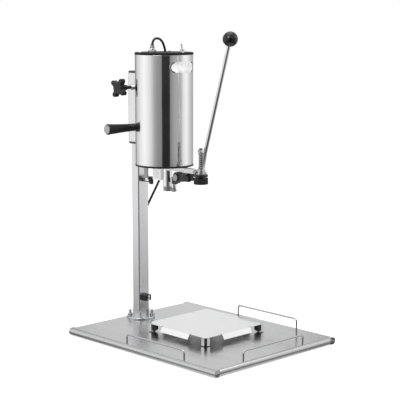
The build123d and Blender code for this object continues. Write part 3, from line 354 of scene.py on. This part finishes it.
def stands_for(piece, surface, *nodes):
    """Piece takes the place, body and finish of CAD nodes."""
    finish_of(piece, surface)
    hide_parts(*nodes)
    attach(piece, body_of_node[nodes[0]])
    return piece


def refined(node, surface, edge=0.0004, crease=40):
    """Skin over a CAD node: flat triangles merged into whole faces, sharp edges rounded by edge metres."""
    shape = bmesh.new()
    shape.from_mesh(frame["nodes"][node].data)
    bmesh.ops.remove_doubles(shape, verts=shape.verts, dist=1e-6)
    bmesh.ops.dissolve_limit(
        shape, angle_limit=math.radians(0.4), verts=shape.verts, edges=shape.edges, delimit={"NORMAL"}
    )
    shape.verts.index_update()
    points = [vertex.co.copy() for vertex in shape.verts]
    faces = [[vertex.index for vertex in face.verts] for face in shape.faces]
    shape.free()
    piece = mesh_piece(node + "_skin", points, faces, crease)
    round_edges = piece.modifiers.new("round_edges", "BEVEL")
    round_edges.width = edge
    round_edges.segments = 2
    round_edges.limit_method = "ANGLE"
    round_edges.angle_limit = math.radians(crease)
    even = piece.modifiers.new("even_shading", "WEIGHTED_NORMAL")
    even.keep_sharp = True
    return stands_for(piece, surface, node)


def ball_skin(node, surface, steps, segments):
    """Smooth ball over a CAD ball; steps count from pole to pole, segments round the middle."""
    radius = size_of(node).x / 2
    turns = [math.pi * k / steps for k in range(steps + 1)]
    profile = [(radius * math.sin(turn), -radius * math.cos(turn)) for turn in turns]
    ball = lathe(node + "_skin", profile, centre_of(node), segments=segments, closed=False)
    return stands_for(ball, surface, node)


# ---------------------------------------------------------------- mains cord
hank_direction = Vector((0.661, 0.751))


def behind_column(along, across, height):
    """Point behind the column: along the hank's length, across it and up."""
    column = centre_of("column_tube")
    return (
        column.x + hank_direction.x * along - hank_direction.y * across,
        column.y + hank_direction.y * along + hank_direction.x * across,
        height,
    )


def millimetres(points):
    """Points in millimetres as vectors in metres."""
    return [Vector(p) / 1000 for p in points]


# The cord's middle line, as in the CAD model: out of the gland, over the head, down behind the column to
# the bench, nearly three turns of a hank, and the tail that ends in the plug.
cord_radius = 0.0035
route = millimetres([
    (-7, 190, 829),
    (-7, 190, 835),
    (-2, 191, 844.5),
    (8, 194, 850),
    (27, 199, 849.5),
    (43, 204, 842),
    (56, 209, 828.5),
    (64, 212, 810),
    (68, 213, 785),
    (70, 213, 750),
    (70, 213, 700),
    (72, 211, 630),
    (70, 212, 545),
    (67, 219, 478),
    (62, 238, 430),
    (57, 266, 381),
    (51, 294, 330),
    (49, 307, 268),
    (52, 311, 195),
    (51, 310, 120),
    (52, 311, 66),
    (54, 317, 34),
    (58, 330, 13),
    (63, 348, 3.5),
    (72, 368, 3.5),
])
hank_middle, hank_half_run, hank_bend = 0.170, 0.036, 0.021
layer = 0.0072
climb_start, climb_share = 0.62, 0.3
points_per_turn = 16
tail_point = 13


def hank_level(turns, share):
    """Height of the line: each turn lies flat and climbs one layer at the near bend."""
    climb = min(1, max(0, (share - climb_start) / climb_share))
    return cord_radius + layer * (turns + climb)


def hank_turn(turns, first, last):
    """Control points of one turn, from the +across run round the far end and back."""
    run = 2 * hank_half_run
    bend = math.pi * hank_bend
    spots = []
    for k in range(first, last):
        share = k / points_per_turn
        gone = share * 2 * (run + bend)
        if gone < run:
            along, across = gone - hank_half_run, hank_bend
        elif gone < run + bend:
            turn = (gone - run) / hank_bend
            along, across = hank_half_run + hank_bend * math.sin(turn), hank_bend * math.cos(turn)
        elif gone < 2 * run + bend:
            along, across = hank_half_run - (gone - run - bend), -hank_bend
        else:
            turn = (gone - 2 * run - bend) / hank_bend
            along, across = -hank_half_run - hank_bend * math.sin(turn), -hank_bend * math.cos(turn)
        spots.append(Vector(behind_column(hank_middle + along, across, hank_level(turns, share))))
    return spots


route += hank_turn(0, 1, points_per_turn)
route += hank_turn(1, 0, points_per_turn)
route += hank_turn(2, 0, tail_point)
route += [Vector(behind_column(*spot)) for spot in millimetres([
    (113, -2, 23.5),
    (115.5, 9, 25.5),
    (122.5, 17.5, 27),
    (132.5, 21, 29.5),
    (144.5, 18.5, 33),
    (156, 10, 37),
    (166.5, 2.5, 39.6),
    (177.5, 2.5, 39.6),
])]

line_data = bpy.data.curves.new("cord_line", "CURVE")
line_data.dimensions = "3D"
line = line_data.splines.new("NURBS")
line.points.add(len(route) - 1)
for point, spot in zip(line.points, route):
    point.co = (*spot, 1)
line.order_u = 3
line.use_endpoint_u = True
line.resolution_u = 6
line_object = bpy.data.objects.new("cord_line", line_data)
scene.collection.objects.link(line_object)
bpy.context.view_layer.update()
line_mesh = bpy.data.meshes.new_from_object(line_object)
cord_path = [vertex.co.copy() for vertex in line_mesh.vertices]
bpy.data.objects.remove(line_object)
bpy.data.meshes.remove(line_mesh)

mains_cord = tube("mains_cord", cord_path, cord_radius, 16)
finish_of(mains_cord, "cord")
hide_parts("cord_upper", "cord_drop", "cord_hank")
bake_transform(mains_cord)
plug = refined("mains_plug", "rubber", 0.0008)

# ---------------------------------------------------------------- base
refined("base_plate", "plate", 0.0003)
refined("column_backing_plate", "zinc", 0.0005)
refined("column_flange", "column", 0.0004)
refined("column_bolts", "zinc", 0.0004)
refined("column_tube", "column", 0.0003)
refined("column_cap", "black", 0.0005)
refined("lower_bumper", "rubber", 0.0008)
refined("bumper_screws", "zinc", 0.0003)
for fence in ("fence_left", "fence_front", "fence_right"):
    refined(fence, "fence", 0.0002)

# ---------------------------------------------------------------- tray
refined("tin_tray", "bright", 0.0003)
refined("caster_cups", "black_nylon", 0.0005)
for corner in ("left_rear", "left_front", "right_front", "right_rear"):
    ball_skin("caster_ball_" + corner, "black_nylon", 24, 48)

# ---------------------------------------------------------------- head: sleeve and housing
refined("carriage_sleeve", "sleeve", 0.0004)
refined("upper_bush", "black_nylon", 0.0006)
refined("lower_bush", "black_nylon", 0.0006)

shell_low, shell_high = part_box("housing_shell")
shell_centre = Vector(((shell_low.x + shell_high.x) / 2, (shell_low.y + shell_high.y) / 2, 0))
shell_radius = (shell_high.x - shell_low.x) / 2
shell_wall = 0.0015
roll_size = 0.0007
shell_profile = (
    rounded_corner(shell_radius, shell_low.z, roll_size, 1, -1)[::-1]
    + rounded_corner(shell_radius, shell_high.z, roll_size, 1, 1)
    + [(shell_radius - shell_wall, shell_high.z), (shell_radius - shell_wall, shell_low.z)]
)
shell = lathe("housing_shell_skin", shell_profile, shell_centre, segments=192)
stands_for(shell, "shell", "housing_shell")

lid_low, lid_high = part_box("housing_lid")
lid_radius = (lid_high.x - lid_low.x) / 2
lid_edge, lid_lower_edge = 0.0022, 0.0006
groove_depth = 0.0006
groove_shares = (0.93, 0.94, 0.952, 0.96)
lip_outer, lip_inner = shell_radius - shell_wall - 0.0003, shell_radius - 0.006
groove_top, groove_floor = lid_high.z, lid_high.z - groove_depth
groove_heights = (groove_top, groove_floor, groove_floor, groove_top)
rim = shell_high.z
lid_profile = (
    [(0, lid_high.z)]
    + [(lid_radius * share, height) for share, height in zip(groove_shares, groove_heights)]
    + rounded_corner(lid_radius, lid_high.z, lid_edge, 1, 1)[::-1]
    + rounded_corner(lid_radius, rim, lid_lower_edge, 1, -1)
    + [(lip_outer, rim), (lip_outer, lid_low.z), (lip_inner, lid_low.z), (lip_inner, rim), (0, rim)]
)
lid = lathe("housing_lid_skin", lid_profile, shell_centre, segments=192, closed=False)
stands_for(lid, "lid", "housing_lid")

refined("bottom_ring", "black", 0.0004)
refined("head_base", "alloy", 0.0004)
refined("head_screws", "zinc", 0.0003)
refined("cable_gland", "bright", 0.0005)
refined("switch_body", "zinc", 0.0003)
refined("switch_bat", "bright", 0.0003)
refined("name_plate", "badge", 0.0003)

# The gland's black bend relief with a bright wire wound round it.
gland_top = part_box("cable_gland")[1].z
gland_centre = centre_of("cable_gland")
relief_foot = gland_top - 0.010
relief_profile = [
    (cord_radius, relief_foot),
    (0.0072, relief_foot),
    (0.0068, relief_foot + 0.003),
    (0.0054, gland_top),
    (0.0046, gland_top + 0.004),
    (cord_radius, gland_top + 0.0042),
]
relief = lathe("gland_relief", relief_profile, Vector((gland_centre.x, gland_centre.y, 0)), segments=48)
finish_of(relief, "rubber")
relief_turns = 4.5
relief_wire = 0.0007
relief_coil_foot, relief_coil_top = relief_foot + 0.0012, gland_top + 0.002
relief_coil_rise = relief_coil_top - relief_coil_foot
wide_end, narrow_end = 0.0078, 0.0058
relief_coil = coil(
    "gland_coil",
    gland_centre,
    relief_coil_foot,
    relief_turns,
    lambda wound: between(wide_end, narrow_end, wound / relief_turns),
    lambda wound: relief_coil_rise * wound / relief_turns,
    relief_wire,
    10,
)
finish_of(relief_coil, "bright")
for piece, slot in ((relief, "cord"), (relief_coil, "zinc")):
    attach(piece, "head")

# Dark rim round the badge, bent to the shell.
badge_z, badge_half = centre_of("name_plate").z, size_of("name_plate").z / 2
badge_thickness = 0.001
badge_angle = math.asin(size_of("name_plate").x / 2 / (shell_radius + badge_thickness))
badge_run = shell_radius * badge_angle - badge_half
badge_steps = 96


def badge_ring(inset, stand_off):
    """Points of the badge's outline, inset from its edge, at a height over the shell."""
    spots = []
    reach = badge_half - inset
    for k in range(badge_steps):
        turn = 2 * math.pi * k / badge_steps
        along = (badge_run if math.cos(turn) > 0 else -badge_run) + reach * math.cos(turn)
        bearing = -math.pi / 2 + along / shell_radius
        radius = shell_radius + stand_off
        spots.append((
            shell_centre.x + radius * math.cos(bearing),
            shell_centre.y + radius * math.sin(bearing),
            badge_z + reach * math.sin(turn),
        ))
    return spots


rim_section = [(0.0001, 0.0008), (0.0004, 0.0014), (0.0031, 0.0014), (0.0034, 0.0010)]
ring_points, ring_faces = [], []
for inset, stand_off in rim_section:
    ring_points += badge_ring(inset, stand_off)
for ring in range(len(rim_section) - 1):
    low, high = ring * badge_steps, (ring + 1) * badge_steps
    for k in range(badge_steps):
        n = (k + 1) % badge_steps
        ring_faces.append([low + k, low + n, high + n, high + k])
badge_rim = mesh_piece("badge_rim", ring_points, ring_faces)
finish_of(badge_rim, "badge_rim")
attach(badge_rim, "head")

# ---------------------------------------------------------------- head: inside, seen only when opened
for node, surface in {
    "back_plate": "zinc",
    "motor_plate": "alloy",
    "motor_body": "enamel",
    "motor_capacitor": "alloy",
    "motor_pinion": "ground",
    "spindle_gear": "bronze",
    "spindle_bearings": "ground",
}.items():
    finish_of(frame["nodes"][node], surface)

# ---------------------------------------------------------------- head: spindle, arms and clamp
refined("spindle_tube", "bright", 0.0005)
refined("spindle_shaft", "ground", 0.0002)
refined("head_arms", "arm", 0.0008)
refined("guide_block", "nylon", 0.0008)
refined("clamp_bracket", "dark_metal", 0.0005)
refined("clamp_boss", "bright", 0.0005)
refined("clamp_knob", "black", 0.0005)
refined("pivot_bolts", "dark_metal", 0.0005)
refined("rocker_arm", "forged", 0.0012)
refined("cutter_axle", "bright", 0.0003)
refined("cutter_wheel", "ground", 0.0002)
refined("plunger_screw", "iron", 0.0002)
refined("plunger_nut", "zinc", 0.0004)
refined("adjusting_knob", "black", 0.0004)

spring_low, spring_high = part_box("plunger_spring")
spring_centre = (spring_low + spring_high) / 2
spring_wire = 0.0011
spring_radius = (spring_high.x - spring_low.x) / 2 - spring_wire
spring_rise = spring_high.z - spring_low.z - 2 * spring_wire
active_turns, closed_turns = 7, 1.5
closed_pitch = 2 * spring_wire * 1.02
closed_rise = closed_pitch * closed_turns


def spring_height(wound):
    """Height of the wire's middle: closed turns at both ends, open ones between them."""
    if wound < closed_turns:
        return closed_pitch * wound
    if wound > active_turns + closed_turns:
        return spring_rise - closed_rise + closed_pitch * (wound - active_turns - closed_turns)
    return between(closed_rise, spring_rise - closed_rise, (wound - closed_turns) / active_turns)


spring = coil(
    "plunger_spring_skin",
    spring_centre,
    spring_low.z + spring_wire,
    active_turns + 2 * closed_turns,
    lambda wound: spring_radius,
    spring_height,
    spring_wire,
    12,
)
stands_for(spring, "ground", "plunger_spring")
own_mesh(spring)

# ---------------------------------------------------------------- lever, star knob, handle
refined("lever_arm", "bright", 0.0006)
ball_skin("lever_ball", "gloss", 40, 80)
refined("star_knob", "black", 0.0008)
refined("handle_grip", "black", 0.0006)
refined("handle_stud", "ground", 0.0004)


# ---------------------------------------------------------------- studio
def glow(name, strength):
    """Material that gives off white light, and its shader."""
    material = bpy.data.materials.new(name)
    material.use_nodes = True
    shader = material.node_tree.nodes["Principled BSDF"]
    shader.inputs["Base Color"].default_value = (0, 0, 0, 1)
    shader.inputs["Emission Color"].default_value = (1, 1, 1, 1)
    shader.inputs["Emission Strength"].default_value = strength
    return material, shader


floor_half = 12
floor_corners = [(x * floor_half, y * floor_half, 0) for x, y in ((-1, -1), (1, -1), (1, 1), (-1, 1))]
floor = mesh_piece("floor", floor_corners, [[0, 1, 2, 3]])
floor_material, floor_shader = glow("floor", 0.2)
floor_shader.inputs["Base Color"].default_value = (0.86, 0.86, 0.86, 1)
floor_shader.inputs["Roughness"].default_value = 0.9
floor_shader.inputs["Specular IOR Level"].default_value = 0.1
floor.data.materials.append(floor_material)
floor.visible_glossy = False

world = bpy.data.worlds.new("studio")
world.use_nodes = True
background = world.node_tree.nodes["Background"]
background.inputs["Color"].default_value = (1, 1, 1, 1)
background.inputs["Strength"].default_value = 1.0
scene.world = world

# Reflection wall round the machine: one mesh, seen only in the metal, with its brightness painted on. A stop
# is an angle in degrees from the camera's bearing, to its right, and a brightness. A level is a height and a
# share of that brightness, which falls below the floor because reflections pass through the floor.
wall_stops = [
    (-180, 0.95), (-168, 0.9), (-162, 0.24), (-152, 0.24), (-140, 0.62), (-118, 0.98), (-88, 1.3),
    (-70, 1.12), (-56, 0.88), (-43, 0.5), (-31, 0.37), (-19, 0.32), (-13, 0.3), (-11.5, 0.004),
    (19.5, 0.004), (22, 0.3), (30, 0.38), (42, 0.48), (66, 0.55), (72, 0.6), (80, 1.0),
    (100, 1.22), (119, 0.85), (140, 0.58), (158, 0.42), (168, 0.9), (180, 0.95),
]
wall_levels = [(-2.0, 0.22), (-0.75, 0.3), (-0.42, 0.5), (-0.12, 0.92), (0.0, 1.0), (1.6, 1.0)]
wall_radius = 2.3
wall_step = 4
camera_bearing = math.atan2(camera.location.y - shell_centre.y, camera.location.x - shell_centre.x)
wall_columns = []
for (first, here), (last, there) in zip(wall_stops, wall_stops[1:]):
    steps = max(1, round((last - first) / wall_step))
    shares = [k / steps for k in range(steps)]
    wall_columns += [(between(first, last, share), between(here, there, share)) for share in shares]
wall_columns.append(wall_stops[-1])
wall_points, wall_shades, wall_faces = [], [], []
for degrees, shade in wall_columns:
    bearing = camera_bearing + math.radians(degrees)
    for height, share in wall_levels:
        wall_points.append((wall_radius * math.cos(bearing), wall_radius * math.sin(bearing), height))
        wall_shades.append(shade * share)
rows = len(wall_levels)
for column in range(len(wall_columns) - 1):
    for row in range(rows - 1):
        low = column * rows + row
        wall_faces.append([low, low + rows, low + rows + 1, low + 1])
wall = mesh_piece("reflection_wall", wall_points, wall_faces)
painted = wall.data.color_attributes.new("shade", "FLOAT_COLOR", "POINT")
for spot, shade in zip(painted.data, wall_shades):
    spot.color = (shade, shade, shade, 1)
wall_material, wall_shader = glow("reflection_wall", 1.0)
wall_paint = wall_material.node_tree.nodes.new("ShaderNodeAttribute")
wall_paint.attribute_name = "shade"
wall_material.node_tree.links.new(wall_paint.outputs["Color"], wall_shader.inputs["Emission Color"])
wall.data.materials.append(wall_material)
wall.visible_camera = False
wall.visible_diffuse = False
wall.visible_shadow = False


def softbox(name, place, target, size, power):
    """Rectangular studio light of the given power in watts, turned to the target."""
    data = bpy.data.lights.new(name, "AREA")
    data.shape = "RECTANGLE"
    data.size, data.size_y = size
    data.energy = power
    lamp = bpy.data.objects.new(name, data)
    scene.collection.objects.link(lamp)
    lamp.location = place
    lamp.rotation_euler = (Vector(target) - Vector(place)).to_track_quat("-Z", "Y").to_euler()


softbox("key", (-1.7, -0.4, 1.9), (0, 0, 0.4), (1.0, 1.4), 22)
softbox("fill", (1.6, -1.8, 1.6), (0, 0, 0.4), (1.0, 1.4), 12)
softbox("top", (0.1, 0.2, 2.4), (0, 0, 0.3), (1.6, 1.6), 14)
